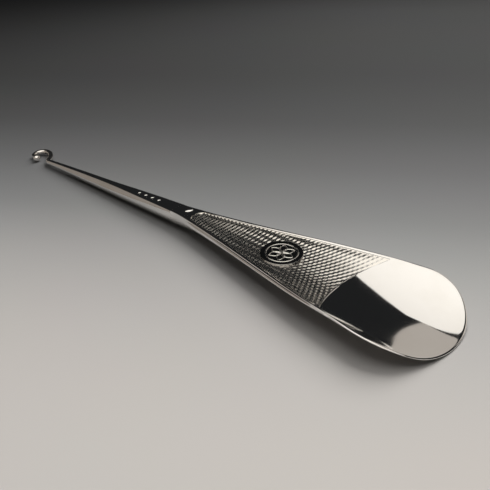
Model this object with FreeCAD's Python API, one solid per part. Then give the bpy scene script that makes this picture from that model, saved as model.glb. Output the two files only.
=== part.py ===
import FreeCAD, Part
import math
import os
from FreeCAD import Matrix, Placement, Rotation, Vector

# Polished metal shoehorn with a button hook at the end of its handle, in millimetres.
# It lies hollow side up on a table: +X runs from the hook to the scoop's tip, +Y across the
# blade, +Z up. The origin is the middle of the object's box, at table level.

# ---- Driving dimensions ----
LENGTH = 250.0                 # overall, hook to tip
TIP_X = LENGTH / 2.0
BLADE_START = 4.0              # where the blade's neck meets the handle's flat top
WIDEST_X = 103.3               # where the rounded end of the scoop begins
CARTOUCHE_X = 60.8             # middle of the round cartouche
SHANK_END = -103.0             # hook end of the handle

# Height above the table of the handle's flat top and, further on, of the trough's middle
TOP_HEIGHT = [(-110, 3.1), (-68, 5.2), (-25, 6.7), (9, 7.5), (26, 7.6), (43, 7.2),
              (61, 6.3), (78, 5.15), (95, 3.75), (110, 2.3), (125, 0.7), (130, 0.2)]
# How fast the trough rises from its middle line: height gained is this times y squared
TROUGH_CURL = [(-10, 0.0), (9, 0.0), (26, 0.0025), (43, 0.0070), (61, 0.0099),
               (78, 0.0110), (95, 0.0118), (112, 0.0119), (118, 0.0112), (123, 0.0078),
               (130, 0.0020)]
# Half width of the blade seen from above, before its end is rounded
FLARE = [(0, 3.5), (9, 3.85), (26, 6.5), (43, 9.6), (61, 13.2), (78, 16.6), (95, 19.5),
         (112, 21.9), (130, 25.0)]
# Thickness of the blade's metal
THICKNESS = [(0, 2.5), (26, 2.2), (45, 1.9), (75, 1.6), (98, 1.1), (112, 0.85), (125, 0.7), (130, 0.7)]

# Handle sections: x, half width of the flat top, greatest half width, depth below the top
SHANK_SECTIONS = [(SHANK_END, 0.9, 1.45, 2.8), (-90, 1.0, 1.75, 3.4), (-77, 1.1, 2.15, 4.2),
                  (-60, 1.3, 2.65, 5.1), (-42, 1.6, 3.1, 5.8), (-17, 2.75, 3.75, 6.4),
                  (9, 3.85, 4.45, 6.6), (26, 4.1, 4.6, 6.2), (43, 3.0, 3.5, 4.3),
                  (58, 1.2, 1.6, 1.9)]

SIDE_SHARE = 0.42              # share of the depth at which a section is widest
LOWER_SHARE = 0.84             # share of the depth at which it has drawn in to LOWER_WIDTH
LOWER_WIDTH = 0.66

PANEL_APEX = 15.2              # narrow end of the engine-turned panel
PANEL_BASE_RADIUS = 33.0       # of its curved wide end
# Width of the plain polished edge beside the panel
PANEL_MARGIN = [(15, 1.1), (35, 1.4), (55, 1.7), (95, 1.7)]
PANEL_CORNER = 90.5            # where its curved wide end meets its long sides
APEX_ROUND = 2.6               # length over which its pointed end is rounded off
PANEL_DEPTH = 0.35

THUMB_CUT_X = 12.3             # polished hollow at the panel's apex
THUMB_CUT_RADIUS = 2.8
THUMB_CUT_DEPTH = 0.72

DISC_RADIUS = 7.5
DISC_STOCK = 4.0               # cut away from below to sit in the trough
DISC_RISE = 0.75               # flat top of the disc above the trough's middle line
RING_RADIUS = 5.6              # middle of the ring let into the disc
RING_WIDTH = 0.6
PETAL_LENGTH = 4.7
PETAL_BULGE = 1.3              # half width of a petal
PETAL_LINE = 0.4
INLAY_DEPTH = 0.22             # the ring and the petals lie in the disc, level with its face

MARK_ROW = [-21.0, -16.4, -11.8, -7.2]    # middles of four blank oval marks sunk in the handle
MARK_LENGTH = 2.9
MARK_WIDTH = 2.1
MARK_DEPTH = 0.23

TANG_RADIUS = 0.85
TANG_LENGTH = 12.0
WIRE_RADIUS = 1.4              # hook wire where it leaves the handle
NECK_RADIUS = 0.75             # hook wire where it meets its ball
BALL_RADIUS = 1.9
BEND_RADIUS = 4.1              # middle line of the hook's round bend
HOOK_OFFSET = 8.0              # how far the hook's arm stands out to the side
HOOK_RISE = [(-106.5, 1.3, 1.98), (-111.5, 5.4, 1.9), (-116.2, 7.6, 1.9)]    # the arm before its bend
HOOK_BEND = (95, 125, 155, 185, 215, 245)    # stations round the bend, in degrees
HOOK_RINGS = 18                # stations along the hook's wire
THINS_FROM = 0.6               # share of the wire's length after which it thins towards the ball
OUTSIDE = 30.0                 # reach of the cutting bodies beyond the object
FACE_X = [5.0 * i - 2.0 for i in range(27)]    # stations of the dished faces, past the blade all round
FACE_Y = range(-27, 28, 9)


def smooth(stations):
    """A smooth function through (x, value) stations, with matched slopes where they meet."""
    xs = [s[0] for s in stations]
    vs = [float(s[1]) for s in stations]
    last = len(xs) - 1
    slopes = []
    for i in range(last + 1):
        lo, hi = max(i - 1, 0), min(i + 1, last)
        slopes.append((vs[hi] - vs[lo]) / (xs[hi] - xs[lo]))

    def value(x):
        i = 0
        while i < last - 1 and x > xs[i + 1]:
            i += 1
        step = xs[i + 1] - xs[i]
        t = (x - xs[i]) / step
        a = (1 + 2 * t) * (1 - t) ** 2 * vs[i] + t * (1 - t) ** 2 * step * slopes[i]
        b = t * t * (3 - 2 * t) * vs[i + 1] + t * t * (t - 1) * step * slopes[i + 1]
        return a + b
    return value


top_height = smooth(TOP_HEIGHT)
trough_curl = smooth(TROUGH_CURL)
flare = smooth(FLARE)
thickness = smooth(THICKNESS)
panel_margin = smooth(PANEL_MARGIN)


def blade_half_width(x):
    """Half width of the blade: a straight flare closed by a rounded end."""
    if x <= WIDEST_X:
        return flare(x)
    t = min((x - WIDEST_X) / (TIP_X - WIDEST_X), 1.0)
    return flare(x) * math.sqrt(1.0 - t * t)


def blade_top(x, y):
    return top_height(x) + trough_curl(x) * y * y


def dished_face(drop):
    """The blade's top surface lowered by drop(x), reaching past the blade all round."""
    grid = []
    for x in FACE_X:
        grid.append([Vector(x, y, blade_top(x, y) - drop(x)) for y in FACE_Y])
    surface = Part.BSplineSurface()
    surface.interpolate(grid)
    return surface.toShape()


def slab(upper, lower):
    """The space between two dished faces, as one solid with upright walls round it."""
    top, bottom = dished_face(upper), dished_face(lower)
    walls = []
    for one, other in zip(top.Edges, bottom.Edges):
        walls.append(Part.makeRuledSurface(one, other))
    shell = Part.makeShell([top, bottom] + walls)
    solid = Part.makeSolid(shell)
    if solid.Volume < 0:
        solid.reverse()
    return solid


def upright(points_far, tip, closing_edges):
    """An upright prism on a plan outline that is symmetrical about the X axis."""
    curve = Part.BSplineCurve()
    near = [Vector(p.x, -p.y, 0) for p in reversed(points_far)]
    curve.interpolate(points_far + tip + near)
    wire = Part.Wire([curve.toShape()] + closing_edges)
    prism = Part.Face(wire).extrude(Vector(0, 0, 2 * OUTSIDE))
    prism.translate(Vector(0, 0, -OUTSIDE))
    return prism


def blade_prism():
    straight = [BLADE_START, 15, 30, 45, 60, 75, 90]
    rounded = [WIDEST_X + (TIP_X - WIDEST_X) * math.sin(math.radians(a)) for a in (0, 20, 40, 58, 74)]
    far = [Vector(x, blade_half_width(x), 0) for x in straight + rounded]
    first = far[0]
    neck = Part.makeLine(Vector(first.x, -first.y, 0), first)
    return upright(far, [Vector(TIP_X, 0, 0)], [neck])


def panel_half_width(x):
    return flare(x) - panel_margin(x)


def panel_prism():
    """Panel with a rounded narrow end and a wide end that bows towards it."""
    half = panel_half_width(PANEL_CORNER)
    middle = PANEL_CORNER - (PANEL_BASE_RADIUS - math.sqrt(PANEL_BASE_RADIUS ** 2 - half ** 2))
    far = [Vector(x, panel_half_width(x), 0) for x in (PANEL_CORNER, 75, 60, 45, 30)]
    for degrees in (0, 25, 50, 70):
        a = math.radians(degrees)
        x = PANEL_APEX + APEX_ROUND * (1.0 - math.sin(a))
        far.append(Vector(x, panel_half_width(x) * math.cos(a), 0))
    base = Part.Arc(Vector(PANEL_CORNER, -half, 0), Vector(middle, 0, 0), Vector(PANEL_CORNER, half, 0))
    return upright(far, [Vector(PANEL_APEX, 0, 0)], [base.toShape()])


def section_wire(x, flat, widest, depth):
    """D-shaped handle section: a flat top and one rounded curve below it."""
    z = top_height(x)
    side, low, drawn_in = SIDE_SHARE * depth, LOWER_SHARE * depth, LOWER_WIDTH * widest
    right, left = Vector(x, flat, z), Vector(x, -flat, z)
    curve = Part.BSplineCurve()
    curve.interpolate([right, Vector(x, widest, z - side), Vector(x, drawn_in, z - low), Vector(x, 0, z - depth),
                       Vector(x, -drawn_in, z - low), Vector(x, -widest, z - side), left])
    return Part.Wire([Part.makeLine(left, right), curve.toShape()])


def mark_cutter(x):
    """The body that sinks one blank oval mark into the handle's flat top."""
    oval = Part.Ellipse(Vector(x, 0, 0), MARK_LENGTH / 2.0, MARK_WIDTH / 2.0).toShape()
    cutter = Part.Face(Part.Wire([oval])).extrude(Vector(0, 0, OUTSIDE))
    cutter.translate(Vector(0, 0, top_height(x) - MARK_DEPTH))
    return cutter


def hook_line():
    """The hook's middle line: out to one side, round the bend and back to its ball."""
    bend_x = -TIP_X + WIRE_RADIUS + BEND_RADIUS
    bend_y = HOOK_OFFSET - BEND_RADIUS
    start = Vector(SHANK_END, 0, top_height(SHANK_END) - WIRE_RADIUS)
    points = [start] + [Vector(*place) for place in HOOK_RISE]
    for degrees in HOOK_BEND:
        a = math.radians(degrees)
        points.append(Vector(bend_x + BEND_RADIUS * math.cos(a), bend_y + BEND_RADIUS * math.sin(a), BALL_RADIUS))
    points.append(Vector(bend_x + 1.8, bend_y - BEND_RADIUS - 0.25, BALL_RADIUS))
    path = Part.BSplineCurve()
    path.interpolate(points, InitialTangent=Vector(-1, 0, 0), FinalTangent=Vector(1, -0.12, 0))
    return path


def ring(centre, along, radius):
    """A circle round the wire, always started from its upper side so that the wire isn't twisted."""
    side = Vector(0, 0, 1).cross(along).normalize()
    up = along.cross(side).normalize()
    turn = Matrix(up.x, side.x, along.x, centre.x,
                  up.y, side.y, along.y, centre.y,
                  up.z, side.z, along.z, centre.z, 0, 0, 0, 1)
    edge = Part.makeCircle(radius)
    edge.Placement = Placement(turn)
    return Part.Wire([edge])


def button_hook(path):
    """A round wire that thins towards the ball, with a tang that sits in the handle's end."""
    first, last = path.FirstParameter, path.LastParameter
    rings = []
    for i in range(HOOK_RINGS + 1):
        t = i / HOOK_RINGS
        u = first + (last - first) * t
        along = Vector(*path.tangent(u)[0])
        thinned = max(0.0, (t - THINS_FROM) / (1.0 - THINS_FROM))
        radius = WIRE_RADIUS - (WIRE_RADIUS - NECK_RADIUS) * thinned
        rings.append(ring(path.value(u), along, radius))
    wire = Part.makeLoft(rings, True)
    tang = Part.makeCylinder(TANG_RADIUS, TANG_LENGTH, path.value(first), Vector(1, 0, 0))
    return wire.fuse(tang)


def hook_ball(path):
    """A ball with a small flat where the wire's end meets it."""
    along = Vector(*path.tangent(path.LastParameter)[0])
    end = path.value(path.LastParameter)
    centre = end + along * math.sqrt(BALL_RADIUS ** 2 - NECK_RADIUS ** 2)
    sphere = Part.makeSphere(BALL_RADIUS, centre)
    beyond = Part.makeCylinder(2 * BALL_RADIUS, 2 * BALL_RADIUS, end, along * -1)
    return sphere.cut(beyond)


def flat_tilt():
    """Placement that lays a flat ornament on the cartouche, level across and sloped with the blade."""
    rise = top_height(CARTOUCHE_X + 5) - top_height(CARTOUCHE_X - 5)
    slope = math.degrees(math.atan2(rise, 10.0))
    base = Vector(CARTOUCHE_X, 0, top_height(CARTOUCHE_X) + DISC_RISE)
    return Placement(base, Rotation(Vector(0, 1, 0), -slope))


def lens(inset):
    """One petal's outline, drawn in by inset, as a plate just under the cartouche's face."""
    start, end = inset, PETAL_LENGTH - inset
    middle, bulge = PETAL_LENGTH / 2.0, PETAL_BULGE - inset
    upper = Part.Arc(Vector(start, 0, 0), Vector(middle, bulge, 0), Vector(end, 0, 0)).toShape()
    lower = Part.Arc(Vector(end, 0, 0), Vector(middle, -bulge, 0), Vector(start, 0, 0)).toShape()
    return Part.Face(Part.Wire([upper, lower])).extrude(Vector(0, 0, -INLAY_DEPTH))


def petals():
    """Six petals, each a line between two lens shapes, joined at their points."""
    rosette = None
    for turn in range(6):
        outline = lens(0.0).cut(lens(PETAL_LINE))
        outline.rotate(Vector(0, 0, 0), Vector(0, 0, 1), 60 * turn)
        rosette = rosette.fuse(outline) if rosette else outline
    return rosette.removeSplitter()


def save(shape, name):
    """Checks one piece, writes its STEP file and prints its size."""
    solids = shape.Solids
    if len(solids) != 1 or not solids[0].isValid():
        print("PROBLEM", name, len(solids), [s.isValid() for s in solids])
    piece = solids[0]
    piece.exportStep("parts/" + name + ".step")
    box = piece.BoundBox
    print("%-22s volume %9.2f  x %.2f..%.2f  y %.2f..%.2f  z %.2f..%.2f" % (
        name, piece.Volume, box.XMin, box.XMax, box.YMin, box.YMax, box.ZMin, box.ZMax))


os.makedirs("parts", exist_ok=True)

# Blade, with a shallow seat for the panel and the thumb cut at the panel's apex
metal = slab(lambda x: 0.0, thickness)
skin = slab(lambda x: 0.0, lambda x: PANEL_DEPTH)
over_skin = slab(lambda x: -OUTSIDE, lambda x: PANEL_DEPTH)
panel_plan = panel_prism()
blade = blade_prism().common(metal).cut(panel_plan.common(over_skin))
sphere_radius = (THUMB_CUT_RADIUS ** 2 + THUMB_CUT_DEPTH ** 2) / (2.0 * THUMB_CUT_DEPTH)
thumb_centre = Vector(THUMB_CUT_X, 0, top_height(THUMB_CUT_X) - THUMB_CUT_DEPTH + sphere_radius)
thumb_cut = Part.makeSphere(sphere_radius, thumb_centre)
panel = panel_plan.common(skin).cut(thumb_cut)
blade = blade.cut(thumb_cut)
save(blade, "horn_blade")
save(panel, "engine_turned_panel")

# Cartouche: flat disc with a ring and a rosette let into its face
tilt = flat_tilt()
band = Part.makeCylinder(RING_RADIUS + RING_WIDTH / 2.0, INLAY_DEPTH).cut(
    Part.makeCylinder(RING_RADIUS - RING_WIDTH / 2.0, INLAY_DEPTH))
band.translate(Vector(0, 0, -INLAY_DEPTH))
band.Placement = tilt.multiply(band.Placement)
rosette = petals()
rosette.Placement = tilt
disc = Part.makeCylinder(DISC_RADIUS, DISC_STOCK, Vector(0, 0, -DISC_STOCK))
disc.Placement = tilt.multiply(disc.Placement)
disc = disc.cut(slab(lambda x: 0.0, lambda x: 2 * DISC_STOCK)).cut(band).cut(rosette)
save(disc, "cartouche_disc")
save(band, "cartouche_ring")
save(rosette, "cartouche_rosette")

# Handle: one tapering bar whose end runs out under the blade as a keel
shank = Part.makeLoft([section_wire(*s) for s in SHANK_SECTIONS], True)
blade_space = slab(lambda x: -OUTSIDE, thickness)
forward = Part.makeBox(200, 100, 100, Vector(BLADE_START, -50, -50))
shank = shank.cut(blade_space.common(forward))
for middle in MARK_ROW:
    shank = shank.cut(mark_cutter(middle))
hook_path = hook_line()
tang_mouth = hook_path.value(hook_path.FirstParameter)
shank = shank.cut(Part.makeCylinder(TANG_RADIUS, TANG_LENGTH, tang_mouth, Vector(1, 0, 0)))
save(shank, "shank")

# Button hook and its ball
save(button_hook(hook_path), "button_hook")
save(hook_ball(hook_path), "hook_ball")
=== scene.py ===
import math

import bmesh
import bpy
import numpy as np
from mathutils import Matrix, Vector


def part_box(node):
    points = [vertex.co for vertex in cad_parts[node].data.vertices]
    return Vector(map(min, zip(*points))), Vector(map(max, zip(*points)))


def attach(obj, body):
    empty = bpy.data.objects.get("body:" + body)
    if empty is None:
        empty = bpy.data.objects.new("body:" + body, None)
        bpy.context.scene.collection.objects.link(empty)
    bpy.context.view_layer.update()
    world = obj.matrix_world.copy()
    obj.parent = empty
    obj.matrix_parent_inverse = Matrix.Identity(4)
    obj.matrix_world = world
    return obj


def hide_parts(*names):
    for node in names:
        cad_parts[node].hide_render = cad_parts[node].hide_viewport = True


# A polished silver shoehorn with an engine-turned panel and a button hook.
# Shapes are worked out in millimetres and written to the meshes in metres.

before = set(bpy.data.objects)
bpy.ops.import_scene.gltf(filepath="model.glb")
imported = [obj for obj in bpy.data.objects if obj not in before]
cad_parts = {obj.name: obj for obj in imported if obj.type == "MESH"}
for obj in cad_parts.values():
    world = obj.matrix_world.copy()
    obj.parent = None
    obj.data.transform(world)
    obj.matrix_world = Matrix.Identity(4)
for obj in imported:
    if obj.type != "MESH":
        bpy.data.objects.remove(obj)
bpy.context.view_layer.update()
MM = 0.001

# ---- Driving dimensions, in millimetres, in the CAD frame ----
# X runs from the hook's end to the scoop's tip, Y points to the far side and Z up.
TIP_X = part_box("horn_blade")[1].x / MM
NECK_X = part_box("horn_blade")[0].x / MM
SHANK_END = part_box("shank")[0].x / MM
KEEL_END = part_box("shank")[1].x / MM
WIDEST_X = 103.3
CARTOUCHE = (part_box("cartouche_disc")[0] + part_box("cartouche_disc")[1]) / 2 / MM

TOP_HEIGHT = [(-110, 3.1), (-68, 5.2), (-25, 6.7), (9, 7.5), (26, 7.6), (43, 7.2),
              (61, 6.3), (78, 5.15), (95, 3.75), (110, 2.3), (125, 0.7), (130, 0.2)]
TROUGH_CURL = [(-10, 0.0), (9, 0.0), (26, 0.0025), (43, 0.0070), (61, 0.0099),
               (78, 0.0110), (95, 0.0118), (112, 0.0119), (118, 0.0112), (123, 0.0078), (130, 0.0020)]
FLARE = [(0, 3.5), (9, 3.85), (26, 6.5), (43, 9.6), (61, 13.2), (78, 16.6), (95, 19.5),
         (112, 21.9), (130, 25.0)]
THICKNESS = [(0, 2.5), (26, 2.2), (45, 1.9), (75, 1.6), (98, 1.1), (112, 0.85), (125, 0.7), (130, 0.7)]
SHANK_FLAT = [(-103, 0.9), (-90, 1.0), (-77, 1.1), (-60, 1.3), (-42, 1.6), (-17, 2.75), (4, 3.6),
              (9, 3.85), (26, 4.1), (43, 3.0), (58, 1.2)]
SHANK_WIDEST = [(-103, 1.45), (-90, 1.75), (-77, 2.15), (-60, 2.65), (-42, 3.1), (-17, 3.75),
                (9, 4.45), (26, 4.6), (43, 3.5), (58, 1.6)]
SHANK_DEPTH = [(-103, 2.8), (-90, 3.4), (-77, 4.2), (-60, 5.1), (-42, 5.8), (-17, 6.4),
               (9, 6.6), (26, 6.2), (43, 4.3), (58, 1.9)]

PANEL_APEX = 15.2
PANEL_BASE_RADIUS = 33.0       # of the arc that the panel's wide end follows
PANEL_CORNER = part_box("engine_turned_panel")[1].x / MM
PANEL_MARGIN = [(15, 1.1), (35, 1.4), (55, 1.7), (95, 1.7)]
APEX_ROUND = 2.6               # length over which the panel's narrow end is rounded
FAR_REACH = 0.75               # the panel's far side stands this much nearer the rim
REACH_RUN = (25.0, 70.0)       # along which it comes to do so
FAR_CORNER_REACH = 1.9         # and its far corner stands this much nearer the tip
CORNER_SHIFT = 1.2             # the outline's point beside a corner is this much nearer the tip
APEX_GROWTH = 1.5              # how fast the panel's surface leaves its edge at the narrow end
SEAT_DEPTH = 0.62              # depth of the hollow in the blade that holds the panel
SEAT_GAP = 0.01                # between the panel's back and the seat's floor
PANEL_SINK = 0.03              # the panel's surface lies this far below the blade's
PANEL_EDGE_SINK = 0.04         # and its very edge this much lower again
SIDE_LEAN = 0.85               # how far the blade's side stands out at its foot
LEAN_DIES = (78.0, 100.0)      # where that lean dies out towards the tip
NECK_BLEND = (9.0, 24.0)       # where the handle's section gives way to the blade's
BORDER_HOLLOW = 0.24           # how far the plain border dips to meet the panel
TOP_ROUND = 0.50               # rounding of the blade's upper edge
LOW_ROUND = 0.45               # and of its lower edge
TIP_ROUND_EXTRA = 0.45         # the upper rounding is this much wider round the tip
TIP_ROUND_RUN = (92.0, 104.0)  # along which it widens
NECK_TOP_ROUND = 0.06          # the two roundings where the blade meets the handle
NECK_LOW_ROUND = 0.01
GROOVE_AT = 0.12               # the cut line beside the panel: its distance from the panel
GROOVE_SHALLOW = 0.02          # its depth at the panel's narrow end
GROOVE_DEEPER = 0.08           # and how much deeper it gets from there

GRAIN_LONG = 1.72              # one full repeat of the engine turning along the blade
GRAIN_WIDE = 3.06              # and across it
STAGGER_RUN = (30.0, 80.0)     # along which straight rows turn into staggered grains
GRAIN_RELIEF = (0.120, 0.135)  # scale of a grain's height, at the panel's apex and at its base
RELIEF_RUN = (35.0, 75.0)      # along which it goes from one to the other
GRAIN_FACET = 0.93             # nearer to 1 gives flatter facets and sharper crests
GRAIN_GAIN = 0.8
GRAIN_SINK = 0.97              # keeps the crests just under the panel's surface
WORN_FAR = 0.72                # share of the relief worn away at the panel's far corner
WORN_FAR_RUN = (50.0, 84.0)
WORN_FAR_ACROSS = (-3.0, 8.0)
WORN_NEAR = 0.26               # and along its near side
WORN_NEAR_ACROSS = (-0.2, 0.6)  # in half widths of the panel, towards the near side

SIDE_SHARE = 0.42              # share of the handle's depth at which it is widest
SIDE_UPPER_POWER = 1.6         # how full the handle's side is above its widest line
SIDE_LOWER_POWER = 0.43        # and below it
MARK_ROW = [-21.0, -16.4, -11.8, -7.2]
MARK_LONG = 1.45               # half length of a mark
MARK_WIDE = 1.05               # half width
MARK_DEPTH = 0.23
MARK_WALL = 0.36               # width of a mark's sloping wall
MARK_SECTIONS = 0.055          # distance between the handle's sections along the marks

THUMB_CUT_X = 12.3
THUMB_CUT_RADIUS = 2.8
THUMB_CUT_DEPTH = 0.72

WIRE_RADIUS = 1.4
WIRE_END_RADIUS = 0.75         # where the wire meets the ball
WIRE_THINS_FROM = 0.6          # share of the wire's length at which it starts to thin
HOOK_HEIGHT = 1.9              # of the wire's middle line round the bend
BEND_RADIUS = 4.1              # of that middle line
BEND_SIDE = 8.0                # how far it stands out sideways
BEND_ANGLES = (95, 125, 155, 185, 215, 245)
HOOK_APPROACH = [(-106.5, 1.3, 1.98), (-111.5, 5.4, HOOK_HEIGHT), (-116.2, 7.6, HOOK_HEIGHT)]
HOOK_END_ALONG = 1.8           # the wire's end, from the bend's middle
HOOK_END_OUT = 0.25            # and past the bend's radius
HOOK_END_DIRECTION = (1, -0.12, 0.0)

CARTOUCHE_RISE = 0.75          # the cartouche's face above the blade
DISC_RADIUS = 7.5
DISC_THICKNESS = 1.3
DISC_ROUND = 0.12              # rounding of the disc's edge
RING_RADIUS = 5.6
RING_HALF_WIDTH = 0.30
LINE_RISE = 0.11               # height of the ring's and the petals' lines
LINE_SINK = 0.02               # and how deep they are sunk in the disc
PETALS = 6
PETAL_REACH = 4.7
PETAL_HALF_WIDTH = 1.3113
PETAL_LINE = 0.22              # half width of a petal's line

TINY = 0.01                    # keeps divisions by a width away from zero


# ---- Curves and surfaces ----
def smooth(stations):
    """A smooth function through (x, value) stations, with matched slopes where they meet."""
    xs = np.array([s[0] for s in stations], float)
    vs = np.array([s[1] for s in stations], float)
    last = len(xs) - 1
    lo = np.maximum(np.arange(last + 1) - 1, 0)
    hi = np.minimum(np.arange(last + 1) + 1, last)
    slopes = (vs[hi] - vs[lo]) / (xs[hi] - xs[lo])

    def value(x):
        x = np.asarray(x, float)
        i = np.clip(np.searchsorted(xs, x) - 1, 0, last - 1)
        width = xs[i + 1] - xs[i]
        t = (x - xs[i]) / width
        a = (1 + 2 * t) * (1 - t) ** 2 * vs[i] + t * (1 - t) ** 2 * width * slopes[i]
        b = t * t * (3 - 2 * t) * vs[i + 1] + t * t * (t - 1) * width * slopes[i + 1]
        return a + b
    return value


top_height = smooth(TOP_HEIGHT)
trough_curl = smooth(TROUGH_CURL)
flare = smooth(FLARE)
thickness = smooth(THICKNESS)
shank_flat = smooth(SHANK_FLAT)
shank_widest = smooth(SHANK_WIDEST)
shank_depth = smooth(SHANK_DEPTH)
panel_margin = smooth(PANEL_MARGIN)


def blade_half_width(x):
    """Half width of the blade, closed to a round tip past its widest place."""
    t = np.clip((np.asarray(x, float) - WIDEST_X) / (TIP_X - WIDEST_X), 0.0, 1.0)
    return flare(x) * np.sqrt(1.0 - t * t)


def blade_top(x, y):
    """Height of the blade's hollow side."""
    return top_height(x) + trough_curl(x) * y * y


def panel_half_width(x):
    """Half width of the engine-turned panel, rounded off at its narrow end."""
    x = np.asarray(x, float)
    t = np.clip((PANEL_APEX + APEX_ROUND - x) / APEX_ROUND, 0.0, 1.0)
    return (flare(x) - panel_margin(x)) * np.sqrt(1.0 - t * t)


def step(x, start, end):
    """Rises smoothly from 0 at start to 1 at end."""
    t = np.clip((x - start) / (end - start), 0.0, 1.0)
    return t * t * (3 - 2 * t)


# ---- Mesh helpers ----
def add_object(name, data):
    obj = bpy.data.objects.new(name, data)
    bpy.context.scene.collection.objects.link(obj)
    return obj


def mesh_object(name, points, faces, node, slot):
    """A smooth-shaded mesh from millimetre points, riding on the object's one body."""
    mesh = bpy.data.meshes.new(name)
    mesh.from_pydata([tuple(p) for p in np.asarray(points) * MM], [], faces)
    mesh.validate()
    mesh.update()
    obj = add_object(name, mesh)
    tidy_mesh(obj)
    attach(obj, "root")
    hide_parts(node)
    return obj


def tidy_mesh(obj, weld=0.000002):
    """Welds doubled points, drops faces with no area and turns every face outwards."""
    bm = bmesh.new()
    bm.from_mesh(obj.data)
    bmesh.ops.remove_doubles(bm, verts=bm.verts, dist=weld)
    bmesh.ops.dissolve_degenerate(bm, dist=weld / 2, edges=bm.edges)
    bmesh.ops.recalc_face_normals(bm, faces=bm.faces)
    for face in bm.faces:
        face.smooth = True
    bm.to_mesh(obj.data)
    bm.free()


def sharpen(obj, degrees):
    """Keeps edges sharper than this crisp and the rest smooth."""
    obj.data.set_sharp_from_angle(angle=math.radians(degrees))


def grid_faces(rows, cols, start=0, close=False):
    """Quads over a grid of points stored row by row."""
    faces = []
    for i in range(rows - 1):
        for j in range(cols - 1 + int(close)):
            k = (j + 1) % cols
            a = start + i * cols
            faces.append((a + j, a + k, a + cols + k, a + cols + j))
    return faces


# ---- Panel: plan layout shared by the panel and the blade's seat under it ----
def panel_lean(u, v):
    """How far the panel reaches further towards the far rim, more so near its base."""
    return FAR_REACH * step(u, *REACH_RUN) * np.clip(v, 0, 1)


def base_arc_centre():
    """X of the middle of the arc that the panel's base follows."""
    half = panel_half_width(PANEL_CORNER)
    return PANEL_CORNER + math.sqrt(PANEL_BASE_RADIUS ** 2 - half ** 2)


def panel_bow(v):
    """How far the panel's curved base stands back from its corners, across v from -1 to 1."""
    half = panel_half_width(PANEL_CORNER)
    return PANEL_CORNER - (base_arc_centre() - np.sqrt(PANEL_BASE_RADIUS ** 2 - (v * half) ** 2))


def panel_place(u, v):
    """Plan position for a nominal x value and a value across from -1 to 1."""
    share = (u - PANEL_APEX) / (PANEL_CORNER - PANEL_APEX)
    x = u + (FAR_CORNER_REACH * np.clip(v, 0, 1) ** 2 - panel_bow(v)) * share ** 2
    return x, v * panel_half_width(u) + panel_lean(u, v)


def panel_plan(along, across):
    """Plan positions over the whole panel."""
    u, v = np.meshgrid(along, across, indexing="ij")
    return panel_place(u, v)


def panel_stations(count, round_count):
    """Nominal x values from the apex to the corners, closer together round the apex."""
    turn = np.linspace(0, math.pi / 2, round_count)
    rounded = PANEL_APEX + APEX_ROUND * (1 - np.cos(turn))
    return np.concatenate([rounded, np.linspace(PANEL_APEX + APEX_ROUND, PANEL_CORNER, count)[1:]])


def edge_distance(x, y):
    """Distance in from the panel's edge, near enough for its border."""
    half_here = np.maximum(panel_half_width(x), TINY)
    side = half_here - np.abs(y) + panel_lean(x, np.clip(y / half_here, 0, 1))
    reach = FAR_CORNER_REACH * np.clip(y / panel_half_width(PANEL_CORNER), 0, 1) ** 2
    base = np.hypot(x - base_arc_centre(), y) - PANEL_BASE_RADIUS + reach
    apex = (x - PANEL_APEX) * APEX_GROWTH
    return np.minimum(np.minimum(side, base), apex)


def grain_height(x, y):
    """Engine turning: rows of staggered grains, each a small bright-cut mound."""
    a = 2 * math.pi * x / GRAIN_LONG
    b = 2 * math.pi * y / GRAIN_WIDE
    stagger = step(x, *STAGGER_RUN)
    wave = np.cos(a) * (1 - stagger + stagger * np.cos(b))
    across = y / np.maximum(panel_half_width(x), TINY)
    worn = 1 - WORN_FAR * step(x, *WORN_FAR_RUN) * step(y, *WORN_FAR_ACROSS)
    worn *= 1 - WORN_NEAR * step(-across, *WORN_NEAR_ACROSS)
    at_apex, at_base = GRAIN_RELIEF
    high = (at_apex + (at_base - at_apex) * step(x, *RELIEF_RUN)) * worn
    return high * (GRAIN_GAIN * np.arcsin(GRAIN_FACET * wave) - GRAIN_SINK)


def border_dip(x):
    """Depth of the border's hollow where it meets the panel: none at the panel's two ends."""
    opens = step(x, PANEL_APEX, PANEL_APEX + 8)
    return BORDER_HOLLOW * opens * (1 - step(x, PANEL_CORNER - 10, PANEL_CORNER))


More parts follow.
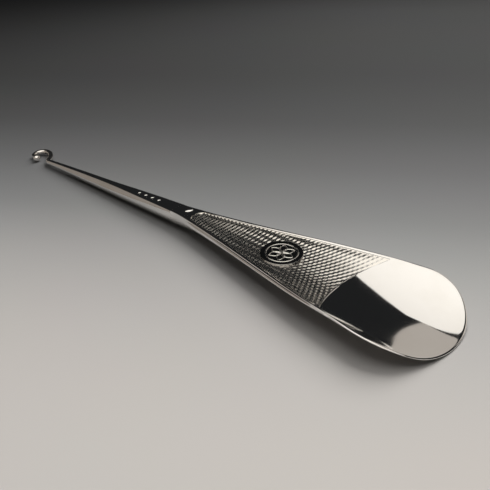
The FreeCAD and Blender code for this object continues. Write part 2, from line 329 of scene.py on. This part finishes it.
def make_panel():
    """The engine-turned skin: a finely divided top, a coarse back and the walls between them."""
    rows, cols, gap = 601, 161, 20
    along = np.linspace(PANEL_APEX + 0.02, PANEL_CORNER, rows)
    # the points lie a little closer together near the sides
    even = np.linspace(-1, 1, cols)
    across = np.sin(even * math.pi / 2) * 0.35 + even * 0.65
    x, y = panel_plan(along, across)
    inside = edge_distance(x, y)
    dip = border_dip(along)[:, None] * (1 - step(inside, 0.0, 3.0))
    z = blade_top(x, y) - dip - PANEL_SINK + grain_height(x, y) * step(inside, 0.15, 0.45)
    z -= PANEL_EDGE_SINK * (1 - step(inside, 0.0, 0.22))
    low = blade_top(x, y) - SEAT_DEPTH + SEAT_GAP
    top = np.stack([x, y, z], -1).reshape(-1, 3)
    back = np.stack([x, y, low], -1)[::gap, ::gap].reshape(-1, 3)
    faces = grid_faces(rows, cols)
    start, back_rows, back_cols = len(top), (rows - 1) // gap + 1, (cols - 1) // gap + 1
    faces += grid_faces(back_rows, back_cols, start)
    # one wall face for each side of each of the back's squares
    for j in range(back_cols - 1):
        for row, back_row in ((0, 0), (rows - 1, back_rows - 1)):
            edge = [row * cols + k for k in range(j * gap, (j + 1) * gap + 1)]
            base = start + back_row * back_cols + j
            faces.append(edge + [base + 1, base])
    for i in range(back_rows - 1):
        for col, back_col in ((0, 0), (cols - 1, back_cols - 1)):
            edge = [k * cols + col for k in range(i * gap, (i + 1) * gap + 1)]
            base = start + i * back_cols + back_col
            faces.append(edge + [base + back_cols, base])
    return np.concatenate([top, back]), faces


def outline_end(count):
    """The blade's outline from the far panel corner round the tip to the near one."""
    straight = np.linspace(PANEL_CORNER + CORNER_SHIFT, WIDEST_X, 60)[:-1]
    turn = np.linspace(0, math.pi / 2, 400)
    x = np.concatenate([straight, WIDEST_X + (TIP_X - WIDEST_X) * np.sin(turn)])
    y = blade_half_width(x)
    y[-1] = 0.0
    far = np.stack([x, y], -1)
    whole = np.concatenate([far, far[-2::-1] * [1, -1]])
    length = np.concatenate([[0], np.cumsum(np.hypot(*np.diff(whole, axis=0).T))])
    wanted = np.linspace(0, length[-1], count)
    return np.stack([np.interp(wanted, length, whole[:, k]) for k in (0, 1)], -1)


def blade_lines(stations, across):
    """Pairs of plan points: on the panel's edge, and on the blade's outline beyond it."""
    count = len(stations)
    one = np.ones(count)
    inner_far = np.stack(panel_place(stations, one), -1)
    inner_near = np.stack(panel_place(stations, -one), -1)
    end_of_round = PANEL_APEX + APEX_ROUND
    rounded = stations <= end_of_round + 1e-6
    outer = np.empty((count, 2))
    n = int(rounded.sum())
    neck_half = float(blade_half_width(NECK_X))
    on_neck = 7
    run = np.concatenate([np.linspace(0, neck_half, on_neck),
                          neck_half + np.linspace(0, end_of_round - NECK_X, n - on_neck + 1)[1:]])
    for i in range(n):
        if i < on_neck:
            outer[i] = (NECK_X, run[i])
        else:
            x = NECK_X + (run[i] - neck_half)
            outer[i] = (x, blade_half_width(x))
    shift = CORNER_SHIFT * step(stations[n:], PANEL_CORNER - 20, PANEL_CORNER)
    outer[n:, 0] = stations[n:] + shift
    outer[n:, 1] = blade_half_width(outer[n:, 0])
    base_v = across[::-1]
    inner_base = np.stack(panel_place(np.full(len(base_v), PANEL_CORNER), base_v), -1)
    outer_base = outline_end(len(across))
    inner = np.concatenate([inner_far, inner_base[1:-1], inner_near[::-1]])
    outer = np.concatenate([outer, outer_base[1:-1], (outer * [1, -1])[::-1]])
    return inner, outer


def spread(outer, normal, neck, drop):
    """Outline lower down the blade's side: it swells like the handle's and, further on, leans out."""
    x = outer[:, 0]
    swell = (handle_side(x, drop) - shank_flat(x)) * (1 - step(x, *NECK_BLEND))
    swell += SIDE_LEAN * drop / thickness(x) * step(x, *NECK_BLEND) * (1 - step(x, *LEAN_DIES))
    moved = outer + normal * swell[:, None]
    moved[neck] = outer[neck]
    moved[neck, 1] *= 1 + swell[neck] / shank_flat(NECK_X)
    return moved


def make_blade():
    """Rings of points from the panel's seat over the border and rim and back along the underside."""
    stations = panel_stations(150, 26)
    across = np.linspace(-1, 1, 101)
    inner, outer = blade_lines(stations, across)
    lines = len(inner)
    tangent = np.gradient(outer, axis=0)
    normal = np.stack([tangent[:, 1], -tangent[:, 0]], -1)
    near_neck = outer[:, 0] < WIDEST_X / 2
    slope = (flare(outer[:, 0] + 0.01) - flare(outer[:, 0] - 0.01)) / 0.02
    normal[near_neck] = np.stack([-slope, np.sign(outer[:, 1])], -1)[near_neck]
    neck = np.abs(outer[:, 0] - NECK_X) < 1e-6
    normal[neck] = (-1, 0)
    normal[np.abs(normal).sum(1) == 0] = (1, 0)
    normal /= np.hypot(normal[:, 0], normal[:, 1])[:, None]
    outward = np.sign(((outer - inner) * normal).sum(1))
    outward[outward == 0] = 1
    normal *= outward[:, None]
    thick = thickness(outer[:, 0])
    merged = 1 - step(outer[:, 0], *NECK_BLEND)
    top_round = np.minimum(TOP_ROUND, 0.48 * thick) * (1 - merged) + NECK_TOP_ROUND * merged
    low_round = np.minimum(LOW_ROUND, 0.45 * thick) * (1 - merged) + NECK_LOW_ROUND * merged
    top_round[neck] = 0.005

    rings = []

    def ring(xy, drop):
        z = blade_top(xy[:, 0], xy[:, 1]) - drop
        rings.append(np.stack([xy[:, 0], xy[:, 1], z], -1))

    # seat wall beside the panel, then the border groove, the open surface and the rim
    ring(inner, SEAT_DEPTH)
    top_width = top_round + TIP_ROUND_EXTRA * step(outer[:, 0], *TIP_ROUND_RUN)
    rim_inner = outer - normal * top_width[:, None]
    span = rim_inner - inner
    length = np.hypot(span[:, 0], span[:, 1])
    dip = np.zeros(lines)
    dip[:len(stations)] = border_dip(stations)
    dip[-len(stations):] = border_dip(stations)[::-1]
    cut = GROOVE_SHALLOW + GROOVE_DEEPER * step(inner[:, 0], PANEL_APEX + 4, PANEL_APEX + 25)
    insets = (0.0, 0.06, 0.12, 0.18, 0.24, 0.30, 0.40)
    for inset in insets:
        r = np.minimum(inset / length, 0.5)
        groove = cut * max(0.0, 1 - abs(inset - GROOVE_AT) / GROOVE_AT)
        ring(inner + span * r[:, None], groove + dip * (1 - r) ** 2)
    start = np.minimum(insets[-1] / length, 0.5)
    for share in np.linspace(0, 1, 64)[1:]:
        r = start + (1 - start) * share
        ring(inner + span * r[:, None], dip * (1 - r) ** 2)
    for degrees in (18, 36, 54, 72, 90):
        a = math.radians(degrees)
        ring(outer - normal * (top_width * (1 - math.sin(a)))[:, None], top_round * (1 - math.cos(a)))
    for share in (0.25, 0.5, 0.75):
        drop = top_round + (thick - top_round - low_round) * share
        ring(spread(outer, normal, neck, drop), drop)
    for degrees in (0, 18, 36, 54, 72, 90):
        a = math.radians(degrees)
        drop = thick - low_round * (1 - math.sin(a))
        ring(spread(outer, normal, neck, drop) - normal * (low_round * (1 - math.cos(a)))[:, None], drop)
    low_inner = spread(outer, normal, neck, thick) - normal * low_round[:, None]
    for share in np.linspace(0, 1, 34)[1:]:
        xy = low_inner + (inner - low_inner) * share
        local = thickness(xy[:, 0])
        edge = thick + (local - thick) * min(1.0, share * 3)
        ring(xy, edge)
    points = np.concatenate(rings)
    dimple(points)
    faces = grid_faces(len(rings), lines, close=True)
    # the seat floor and the back under it close the blade
    x, y = panel_plan(stations, across)
    floor = np.stack([x, y, blade_top(x, y) - SEAT_DEPTH], -1).reshape(-1, 3)
    back = np.stack([x, y, blade_top(x, y) - thickness(x)], -1).reshape(-1, 3)
    rows, cols = x.shape
    faces += grid_faces(rows, cols, len(points))
    faces += grid_faces(rows, cols, len(points) + len(floor))
    return np.concatenate([points, floor, back]), faces


def dimple(points):
    """Sinks the round thumb cut at the panel's apex into points on the blade's top."""
    sphere = (THUMB_CUT_RADIUS ** 2 + THUMB_CUT_DEPTH ** 2) / (2 * THUMB_CUT_DEPTH)
    far = np.hypot(points[:, 0] - THUMB_CUT_X, points[:, 1])
    on_top = points[:, 2] > blade_top(points[:, 0], points[:, 1]) - 0.2
    inside = (far < THUMB_CUT_RADIUS) & on_top
    sink = np.sqrt(sphere ** 2 - far[inside] ** 2) - (sphere - THUMB_CUT_DEPTH)
    points[inside, 2] -= sink


# ---- Handle ----
def handle_side(x, drop):
    """Half width of the handle at a depth below its flat top."""
    flat, wide, deep = shank_flat(x), shank_widest(x), shank_depth(x)
    shoulder = SIDE_SHARE * deep
    upper = flat + (wide - flat) * (1 - (1 - np.clip(drop / shoulder, 0, 1)) ** SIDE_UPPER_POWER)
    low = np.clip((drop - shoulder) / (deep - shoulder), 0, 1)
    return np.where(drop < shoulder, upper, wide * (1 - low ** 2) ** SIDE_LOWER_POWER)


def mark_depth(x, y):
    """Depth of the row of plain oval hollows, each with soft walls and a flat floor."""
    depth = np.zeros_like(x)
    for middle in MARK_ROW:
        inside = (1 - np.hypot((x - middle) / MARK_LONG, y / MARK_WIDE)) * MARK_WIDE
        depth = np.maximum(depth, MARK_DEPTH * step(inside, 0.0, MARK_WALL))
    return depth


def make_shank():
    """Sections swept along the handle; past the blade's neck they are a keel under the blade."""
    side_count, top_count = 30, 57
    marks = np.arange(MARK_ROW[0] - 2.0, MARK_ROW[-1] + 2.0, MARK_SECTIONS)
    before = np.concatenate([np.linspace(SHANK_END, marks[0], 190)[:-1], marks,
                             np.linspace(marks[-1], NECK_X, 30)[1:]])
    after = np.linspace(NECK_X, KEEL_END - 0.2, 90)
    loops = []

    def loop(x, lid):
        deep = float(shank_depth(x))
        turn = np.linspace(0, math.pi / 2, side_count)
        drop = lid + (deep - lid) * np.sin(turn) ** 1.2
        y = handle_side(np.full(side_count, x), drop)
        y[-1] = 0.0
        right = np.stack([np.full(side_count, x), y, float(top_height(x)) - drop], -1)
        left = (right * [1, -1, 1])[-2::-1]
        across = np.linspace(-y[0], y[0], top_count)[1:-1]
        flat = np.full(len(across), x)
        if lid > 0:
            height = blade_top(flat, across) - lid
            right[0, 2] = left[-1, 2] = float(blade_top(x, y[0])) - lid
        else:
            height = top_height(flat) - mark_depth(flat, across)
        loops.append(np.concatenate([right, left, np.stack([flat, across, height], -1)]))

    for x in before:
        loop(x, 0.0)
    for x in after:
        loop(x, float(thickness(x)))
    size = len(loops[0])
    points = np.concatenate(loops)
    faces = grid_faces(len(loops), size, close=True)
    faces.append(tuple(range(size)))
    faces.append(tuple(range(len(points) - size, len(points)))[::-1])
    return points, faces


# ---- Hook ----
def hook_points():
    """The hook's middle line, from the handle's end round to the ball."""
    cx, cy = WIRE_RADIUS + BEND_RADIUS - TIP_X, BEND_SIDE - BEND_RADIUS
    points = [Vector((SHANK_END, 0, float(top_height(SHANK_END)) - WIRE_RADIUS))]
    points += [Vector(corner) for corner in HOOK_APPROACH]
    for degrees in BEND_ANGLES:
        a = math.radians(degrees)
        points.append(Vector((cx + BEND_RADIUS * math.cos(a), cy + BEND_RADIUS * math.sin(a), HOOK_HEIGHT)))
    points.append(Vector((cx + HOOK_END_ALONG, cy - BEND_RADIUS - HOOK_END_OUT, HOOK_HEIGHT)))
    return points


def spline(points, per_span):
    """Points along a smooth line through the given ones."""
    pts = np.array([tuple(p) for p in points])
    ends = np.concatenate([[pts[0] * 2 - pts[1]], pts, [pts[-1] * 2 - pts[-2]]])
    out = []
    for i in range(len(pts) - 1):
        a, b, c, d = ends[i:i + 4]
        for t in np.linspace(0, 1, per_span, endpoint=False):
            out.append(0.5 * ((2 * b) + (c - a) * t + (2 * a - 5 * b + 4 * c - d) * t * t
                              + (3 * b - a - 3 * c + d) * t ** 3))
    out.append(pts[-1])
    return np.array(out)


def tube(path, radii, sides=40):
    """A round tube of changing radius along a path, closed at both ends."""
    along = np.gradient(path, axis=0)
    along /= np.linalg.norm(along, axis=1)[:, None]
    up = np.array([0, 0, 1.0])
    points, count = [], len(path)
    for centre, direction, radius in zip(path, along, radii):
        side = np.cross(up, direction)
        side /= np.linalg.norm(side)
        top = np.cross(direction, side)
        for k in range(sides):
            a = 2 * math.pi * k / sides
            points.append(centre + radius * (math.cos(a) * side + math.sin(a) * top))
    faces = grid_faces(count, sides, close=True)
    faces.append(tuple(range(sides)))
    faces.append(tuple(range((count - 1) * sides, count * sides))[::-1])
    return np.array(points), faces


def make_hook():
    """The wire, which thins towards the ball."""
    path = spline(hook_points(), 16)
    path = spline(path[::8], 10)
    t = np.linspace(0, 1, len(path))
    thinned = np.maximum(0, (t - WIRE_THINS_FROM) / (1 - WIRE_THINS_FROM))
    return tube(path, WIRE_RADIUS - (WIRE_RADIUS - WIRE_END_RADIUS) * thinned)


def make_ball():
    """The ball that closes the wire, set a little onto its end."""
    low, high = (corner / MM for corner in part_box("hook_ball"))
    radius = (high.z - low.z) / 2
    direction = np.array(HOOK_END_DIRECTION)
    direction /= np.linalg.norm(direction)
    centre = np.array(hook_points()[-1]) + direction * math.sqrt(radius ** 2 - WIRE_END_RADIUS ** 2)
    angle = np.linspace(0, math.pi, 49)
    profile = [(-math.cos(a) * radius, math.sin(a) * radius) for a in angle]
    side = np.cross([0, 0, 1.0], direction)
    top = np.cross(direction, side)
    points, sides = [], 64
    for run, r in profile:
        for k in range(sides):
            a = 2 * math.pi * k / sides
            points.append(centre + direction * run + r * (math.cos(a) * side + math.sin(a) * top))
    return np.array(points), grid_faces(len(profile), sides, close=True)


# ---- Cartouche ----
def cartouche_matrix():
    """Where the flat cartouche lies: level across, sloping with the blade."""
    x0 = float(CARTOUCHE.x)
    rise = float(top_height(x0 + 5) - top_height(x0 - 5))
    slope = math.atan2(rise, 10.0)
    turn = Matrix.Rotation(-slope, 4, "Y")
    return Matrix.Translation(Vector((x0, 0, float(top_height(x0)) + CARTOUCHE_RISE))) @ turn


def turned(profile, sides=160):
    """A solid of revolution about Z from (radius, height) points."""
    points = []
    for r, z in profile:
        for k in range(sides):
            a = 2 * math.pi * k / sides
            points.append((r * math.cos(a), r * math.sin(a), z))
    return np.array(points), grid_faces(len(profile), sides, close=True)


def place(points, matrix):
    """Points moved by a matrix."""
    m = np.array(matrix)
    return points @ m[:3, :3].T + m[:3, 3]


def make_disc():
    """The flat round plate, with a rounded edge."""
    profile = [(0.0, 0.0), (3.0, 0.0), (6.9, 0.0)]
    for degrees in (0, 22, 45, 68, 90):
        a = math.radians(degrees)
        drop = DISC_ROUND - DISC_ROUND * math.cos(a)
        profile.append((DISC_RADIUS - DISC_ROUND + DISC_ROUND * math.sin(a), -drop))
    profile += [(DISC_RADIUS, -DISC_THICKNESS), (0.0, -DISC_THICKNESS)]
    points, faces = turned(profile)
    return place(points, cartouche_matrix()), faces


def make_ring():
    """A raised rounded line round the cartouche."""
    inner, outer = RING_RADIUS - RING_HALF_WIDTH, RING_RADIUS + RING_HALF_WIDTH
    profile = [(inner, -LINE_SINK)]
    for degrees in range(0, 181, 20):
        a = math.radians(degrees)
        profile.append((RING_RADIUS - RING_HALF_WIDTH * math.cos(a), LINE_RISE * math.sin(a)))
    profile += [(outer, -LINE_SINK), (inner, -LINE_SINK)]
    points, faces = turned(profile)
    return place(points, cartouche_matrix()), faces


def make_rosette():
    """Petals drawn with a raised rounded line along each side."""
    points, faces = [], []
    # a rounded section: foot, shoulder, crest, shoulder, foot
    section = [(-PETAL_LINE, -LINE_SINK), (-PETAL_LINE * 0.8, LINE_RISE * 0.6), (0, LINE_RISE),
               (PETAL_LINE * 0.8, LINE_RISE * 0.6), (PETAL_LINE, -LINE_SINK)]
    size = len(section)
    for petal in range(PETALS):
        turn = math.radians(360 / PETALS * petal)
        for side in (1, -1):
            path = []
            for t in np.linspace(0.04, 1.0, 25):
                x = PETAL_REACH * t
                y = side * PETAL_HALF_WIDTH * (1 - (2 * t - 1) ** 2)
                path.append((x * math.cos(turn) - y * math.sin(turn),
                             x * math.sin(turn) + y * math.cos(turn)))
            path = np.array(path)
            along = np.gradient(path, axis=0)
            along /= np.hypot(along[:, 0], along[:, 1])[:, None]
            across = np.stack([-along[:, 1], along[:, 0]], -1)
            start = len(points)
            for p, c in zip(path, across):
                for off, z in section:
                    points.append((p[0] + c[0] * off, p[1] + c[1] * off, z))
            faces += grid_faces(len(path), size, start, close=True)
            faces.append(tuple(range(start, start + size)))
            faces.append(tuple(range(len(points) - size, len(points)))[::-1])
    return place(np.array(points), cartouche_matrix()), faces


# ---- Materials ----
MIX_A, MIX_B, MIX_RESULT = 6, 7, 2  # the colour sockets of Blender's Mix node


def new_material(name):
    """A material with its node lists and its main shader."""
    material = bpy.data.materials.new(name)
    material.use_nodes = True
    nodes, links = material.node_tree.nodes, material.node_tree.links
    return material, nodes, links, nodes["Principled BSDF"]


def remapped(material, source, old, new=(0.0, 1.0)):
    """A number moved from one range to another."""
    tree = material.node_tree
    node = tree.nodes.new("ShaderNodeMapRange")
    node.inputs["From Min"].default_value = old[0]
    node.inputs["From Max"].default_value = old[1]
    node.inputs["To Min"].default_value = new[0]
    node.inputs["To Max"].default_value = new[1]
    tree.links.new(source, node.inputs["Value"])
    return node.outputs["Result"]


def noise(material, where, scale, detail):
    """A noise texture laid over the given coordinates."""
    tree = material.node_tree
    node = tree.nodes.new("ShaderNodeTexNoise")
    node.inputs["Scale"].default_value = scale
    node.inputs["Detail"].default_value = detail
    tree.links.new(where, node.inputs["Vector"])
    return node


def silver(name, tone, dull, polish, scratch):
    """Polished silver: faint cloudy tarnish, uneven polish and hair-fine scratches along the blade."""
    material, nodes, links, shader = new_material(name)
    shader.inputs["Metallic"].default_value = 1.0
    where = nodes.new("ShaderNodeTexCoord").outputs["Object"]
    cloud = noise(material, where, 60.0, 6.0).outputs["Fac"]
    tint = nodes.new("ShaderNodeMix")
    tint.data_type = "RGBA"
    tint.inputs[MIX_A].default_value = (*tone, 1)
    tint.inputs[MIX_B].default_value = (*dull, 1)
    links.new(remapped(material, cloud, (0.45, 0.75)), tint.inputs["Factor"])
    links.new(tint.outputs[MIX_RESULT], shader.inputs["Base Color"])
    links.new(remapped(material, cloud, (0.3, 0.7), polish), shader.inputs["Roughness"])
    stretch = nodes.new("ShaderNodeMapping")
    stretch.inputs["Scale"].default_value = (300.0, 9000.0, 9000.0)
    links.new(where, stretch.inputs["Vector"])
    hair = noise(material, stretch.outputs["Vector"], 1.0, 3.0).outputs["Fac"]
    bump = nodes.new("ShaderNodeBump")
    bump.inputs["Strength"].default_value = scratch
    bump.inputs["Distance"].default_value = 0.00001
    links.new(hair, bump.inputs["Height"])
    links.new(bump.outputs["Normal"], shader.inputs["Normal"])
    return material


# Painted shade on the floor: the light's fall-off painted into its colour, from its pale part near the
# camera to its dark part behind the object
FLOOR_PAINTED_SHADE = [(0.0, 0.60), (0.06, 0.57), (0.11, 0.46), (0.157, 0.32), (0.20, 0.19), (0.26, 0.11),
                (0.34, 0.056), (0.48, 0.038), (1.0, 0.032)]
PAINTED_SHADE_WAY = (-0.500, 0.866, 0.0)
PAINTED_SHADE_RUN = (-0.16, 0.70)     # where the painted shade begins and ends along it, in metres
WARM_SHADE = 0.57                  # painted shades darker than this turn cooler


def floor_material():
    """Pale paper with painted shade: the light's fall-off is painted in, grading it to dark grey behind the
    object.
    """
    material, nodes, links, shader = new_material("studio_floor")
    shader.inputs["Roughness"].default_value = 0.6
    shader.inputs["Specular IOR Level"].default_value = 0.2
    where = nodes.new("ShaderNodeTexCoord").outputs["Object"]
    along = nodes.new("ShaderNodeVectorMath")
    along.operation = "DOT_PRODUCT"
    along.inputs[1].default_value = PAINTED_SHADE_WAY
    links.new(where, along.inputs[0])
    # the ramp paints the light's fall-off into the floor's colour as painted shade
    ramp = nodes.new("ShaderNodeValToRGB")
    links.new(remapped(material, along.outputs["Value"], PAINTED_SHADE_RUN), ramp.inputs["Fac"])
    ramp.color_ramp.interpolation = "B_SPLINE"
    stops = ramp.color_ramp.elements
    while len(stops) < len(FLOOR_PAINTED_SHADE):
        stops.new(0.5)
    for stop, (position, shade) in zip(stops, FLOOR_PAINTED_SHADE):
        stop.position = position
        cool = min(1.0, max(0.0, (WARM_SHADE - shade) / 0.4))
        stop.color = (shade, shade * (0.965 + 0.055 * cool), shade * (0.925 + 0.11 * cool), 1)
    blend = nodes.new("ShaderNodeMix")
    blend.data_type = "RGBA"
    blend.blend_type = "MULTIPLY"
    blend.inputs["Factor"].default_value = 0.06
    links.new(ramp.outputs["Color"], blend.inputs[MIX_A])
    links.new(noise(material, where, 9.0, 3.0).outputs["Color"], blend.inputs[MIX_B])
    links.new(blend.outputs[MIX_RESULT], shader.inputs["Base Color"])
    return material


def glow_material(name, colour, middle, edge, reach, hot_spot=(0, 0, 0)):
    """A lit board, brightest at its hot spot and fading out round it."""
    material = bpy.data.materials.new(name)
    material.use_nodes = True
    nodes, links = material.node_tree.nodes, material.node_tree.links
    nodes.clear()
    where = nodes.new("ShaderNodeTexCoord")
    far = nodes.new("ShaderNodeVectorMath")
    far.operation = "DISTANCE"
    far.inputs[1].default_value = hot_spot
    links.new(where.outputs["Object"], far.inputs[0])
    fade = nodes.new("ShaderNodeMapRange")
    fade.interpolation_type = "SMOOTHSTEP"
    fade.inputs["From Max"].default_value = reach
    fade.inputs["To Min"].default_value = middle
    fade.inputs["To Max"].default_value = edge
    links.new(far.outputs["Value"], fade.inputs["Value"])
    glow = nodes.new("ShaderNodeEmission")
    glow.inputs["Color"].default_value = (*colour, 1)
    links.new(fade.outputs["Result"], glow.inputs["Strength"])
    out = nodes.new("ShaderNodeOutputMaterial")
    links.new(glow.outputs["Emission"], out.inputs["Surface"])
    return material


# ---- Build ----
# Each silver: its bright and dull tones, its range of roughness and the strength of its scratches
polished = silver("silver_polished", (0.955, 0.935, 0.905), (0.90, 0.875, 0.83), (0.035, 0.075), 0.04)
turned_silver = silver("silver_engine_turned", (0.98, 0.945, 0.885), (0.90, 0.86, 0.79), (0.20, 0.24), 0.04)
# The cartouche's silver is painted about half as bright as the rest: painted shade standing in for the dark
# reflection in its flat face
cartouche_silver_painted_dark = silver("silver_cartouche", (0.42, 0.41, 0.40), (0.33, 0.32, 0.31), (0.05, 0.10), 0.05)
wire_silver = silver("silver_hook", (0.96, 0.925, 0.88), (0.88, 0.84, 0.79), (0.17, 0.24), 0.06)

# Name, what makes it, the CAD node it stands for, slot, silver, and the angle in degrees
# above which its edges stay crisp
PIECES = [
    ("horn_blade_silver", make_blade, "horn_blade", "blade_silver", polished, 40),
    ("panel_engine_turning", make_panel, "engine_turned_panel", "engine_turned_silver", turned_silver, 60),
    ("handle_shank", make_shank, "shank", "handle_silver", polished, 25),
    ("hook_wire", make_hook, "button_hook", "hook_silver", wire_silver, 50),
    ("hook_ball_end", make_ball, "hook_ball", "hook_silver", wire_silver, None),
    ("cartouche_plate", make_disc, "cartouche_disc", "cartouche_silver", cartouche_silver_painted_dark, 30),
    ("cartouche_border", make_ring, "cartouche_ring", "ornament_silver", wire_silver, None),
    ("cartouche_petals", make_rosette, "cartouche_rosette", "ornament_silver", wire_silver, 50),
]
for name, make, node, slot, material, crisp_above in PIECES:
    piece = mesh_object(name, *make(), node, slot)
    if crisp_above:
        sharpen(piece, crisp_above)
    piece.data.materials.append(material)

# ---- Camera ----
CAMERA_PLACE = Vector((172.6, -123.3, 106.2)) * MM
CAMERA_TURN = 46.48            # degrees from +Y towards -X that the camera looks
CAMERA_DIP = 29.82             # degrees below level
CAMERA_ROLL = 4.21             # degrees clockwise, seen from behind
turn, dip, roll = (math.radians(a) for a in (CAMERA_TURN, CAMERA_DIP, CAMERA_ROLL))
forward = Vector((-math.sin(turn) * math.cos(dip), math.cos(turn) * math.cos(dip), -math.sin(dip)))
level_right = Vector((math.cos(turn), math.sin(turn), 0))
level_up = level_right.cross(forward)
right = level_right * math.cos(roll) - level_up * math.sin(roll)
up = level_up * math.cos(roll) + level_right * math.sin(roll)
camera = add_object("camera", bpy.data.cameras.new("camera"))
camera.data.lens = 41.3
camera.data.sensor_width = 36.0
camera.data.clip_start = 0.01
camera.matrix_world = Matrix((
    (right.x, up.x, -forward.x, CAMERA_PLACE.x),
    (right.y, up.y, -forward.y, CAMERA_PLACE.y),
    (right.z, up.z, -forward.z, CAMERA_PLACE.z),
    (0, 0, 0, 1)))
bpy.context.scene.camera = camera


# ---- Studio ----
def board(name, width, depth, centre, turns, material):
    """A flat board of the studio: its size and centre in metres, its turns in degrees."""
    mesh = bpy.data.meshes.new(name)
    w, d = width / 2, depth / 2
    mesh.from_pydata([(-w, -d, 0), (w, -d, 0), (w, d, 0), (-w, d, 0)], [], [(0, 1, 2, 3)])
    obj = add_object(name, mesh)
    obj.location = centre
    obj.rotation_euler = [math.radians(t) for t in turns]
    obj.data.materials.append(material)
    return obj


def reflected_only(obj):
    """The board shows in the silver's polish but neither lights the floor nor hides anything."""
    obj.visible_camera = False
    obj.visible_diffuse = False
    obj.visible_shadow = False


board("studio_floor", 16.0, 16.0, (0, 0, 0), (0, 0, 0), floor_material())

# The softbox hangs level over the scoop
BOX_HEIGHT = 0.42
BOX_TURN = 65.0                # degrees from +X towards +Y that its width runs
BOX_RIGHT, BOX_LEFT = 0.739, -1.3  # its sides, in multiples of its height from a point of the scoop
BOX_BACK, BOX_FRONT = 0.709, -2.2
BOX_OVER = Vector((0.105, 0, 0))
along_box = Vector((math.cos(math.radians(BOX_TURN)), math.sin(math.radians(BOX_TURN)), 0))
across_box = Vector((-along_box.y, along_box.x, 0))
box_middle = (BOX_OVER + along_box * (BOX_RIGHT + BOX_LEFT) / 2 * BOX_HEIGHT
              + across_box * (BOX_BACK + BOX_FRONT) / 2 * BOX_HEIGHT)
softbox = board("studio_softbox", (BOX_RIGHT - BOX_LEFT) * BOX_HEIGHT, (BOX_BACK - BOX_FRONT) * BOX_HEIGHT,
                (box_middle.x, box_middle.y, BOX_HEIGHT), (0, 0, BOX_TURN),
                glow_material("softbox_glow", (1.0, 0.965, 0.91), 1.13, 0.88, 0.6, (0, 0.27, 0)))
reflected_only(softbox)

# A pale card stands behind to the right
card = board("studio_card", 2.0, 1.66, (0.592, 1.87, 0.83), (90, 0, 20),
             glow_material("card_glow", (1.0, 0.925, 0.85), 0.60, 0.42, 1.3, (0.6, 0, 0)))
reflected_only(card)

# The dim side of the room, to the left and behind the camera
room = board("studio_room", 3.2, 1.1, (-0.55, -1.25, 0.55), (90, 0, 155),
             glow_material("room_glow", (1.0, 0.89, 0.79), 0.27, 0.20, 1.8))
reflected_only(room)

LAMP_AIM = Vector((0.02, 0, 0))


def soft_light(name, centre, size, power):
    """A square lamp aimed at the object; it lights the floor but doesn't show in the silver."""
    data = bpy.data.lights.new(name, "AREA")
    data.shape = "SQUARE"
    data.size = size
    data.energy = power
    data.color = (1.0, 0.975, 0.95)
    lamp = add_object(name, data)
    lamp.location = centre
    lamp.rotation_euler = (LAMP_AIM - lamp.location).to_track_quat("-Z", "Y").to_euler()
    lamp.visible_camera = False
    lamp.visible_glossy = False


soft_light("studio_key", (-0.10, 0.56, 0.55), 0.60, 9.0)
soft_light("studio_fill", (0.05, 0.10, 1.20), 1.20, 6.5)

world = bpy.data.worlds.new("studio_air")
world.use_nodes = True
air = world.node_tree.nodes["Background"]
air.inputs["Color"].default_value = (0.9, 0.95, 1.0, 1)
air.inputs["Strength"].default_value = 0.014
bpy.context.scene.world = world
bpy.context.scene.view_settings.view_transform = "Standard"
